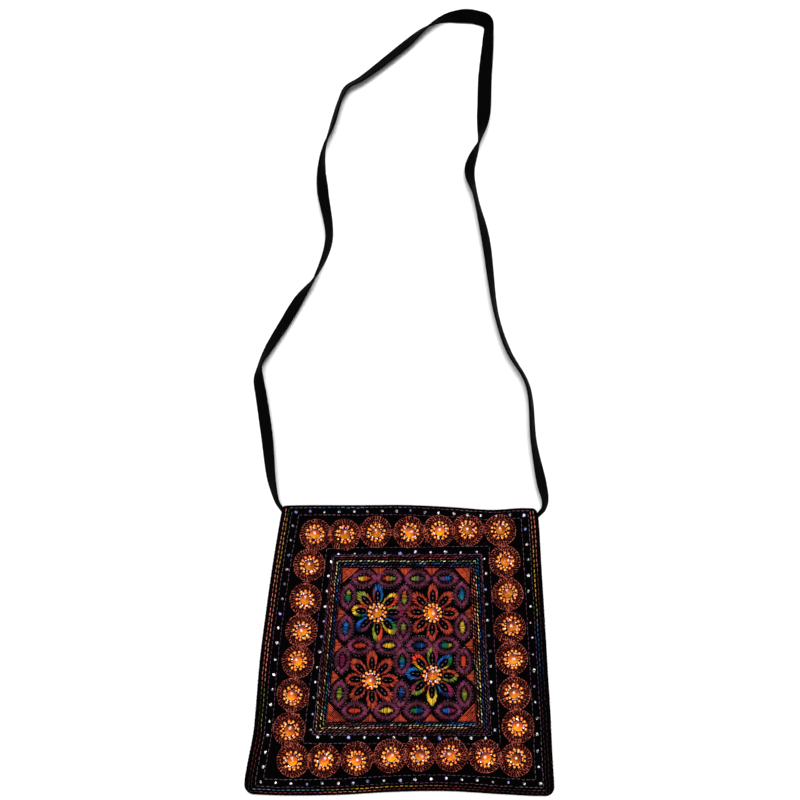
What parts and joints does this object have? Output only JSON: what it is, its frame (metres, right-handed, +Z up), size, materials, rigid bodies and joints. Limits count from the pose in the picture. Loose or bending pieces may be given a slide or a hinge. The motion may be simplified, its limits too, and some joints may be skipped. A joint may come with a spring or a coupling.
{
  "type": "embroidered shoulder bag",
  "caption": "Flat trapezoid cloth shoulder bag lying on its back, with an open pouch, a beaded embroidered front and a long black tape strap.",
  "frame": {"origin": "centre of the pouch's outline, on the surface it lies on", "axes": "+X to the bag's right, +Y from the foot to the mouth and the strap, +Z up out of the embroidered front"},
  "size_m": [0.2608, 0.6976, 0.0156],
  "materials": {
    "embroidered_cloth": "black cotton ground, plain weave, matt",
    "plain_cloth": "plain black cotton back, matt",
    "strap_tape": "black woven tape, faint sheen",
    "amber_bead": "clear amber-orange acrylic, polished"
  },
  "bodies": {
    "root": {"front_panel": "embroidered_cloth", "back_panel": "plain_cloth", "strap": "strap_tape", "medallion_bead_top_1": "amber_bead", "medallion_bead_top_2": "amber_bead", "medallion_bead_top_3": "amber_bead", "medallion_bead_top_4": "amber_bead", "medallion_bead_top_5": "amber_bead", "medallion_bead_top_6": "amber_bead", "medallion_bead_top_7": "amber_bead", "medallion_bead_left_1": "amber_bead", "medallion_bead_left_2": "amber_bead", "medallion_bead_left_3": "amber_bead", "medallion_bead_left_4": "amber_bead", "medallion_bead_left_5": "amber_bead", "medallion_bead_left_6": "amber_bead", "medallion_bead_right_1": "amber_bead", "medallion_bead_right_2": "amber_bead", "medallion_bead_right_3": "amber_bead", "medallion_bead_right_4": "amber_bead", "medallion_bead_right_5": "amber_bead", "medallion_bead_right_6": "amber_bead", "medallion_bead_bottom_1": "amber_bead", "medallion_bead_bottom_2": "amber_bead", "medallion_bead_bottom_3": "amber_bead", "medallion_bead_bottom_4": "amber_bead", "medallion_bead_bottom_5": "amber_bead", "medallion_bead_bottom_6": "amber_bead", "medallion_bead_bottom_7": "amber_bead", "medallion_bead_bottom_8": "amber_bead", "flower_bead_1": "amber_bead", "flower_bead_2": "amber_bead", "flower_bead_3": "amber_bead", "flower_bead_4": "amber_bead"}
  },
  "joints": []
}
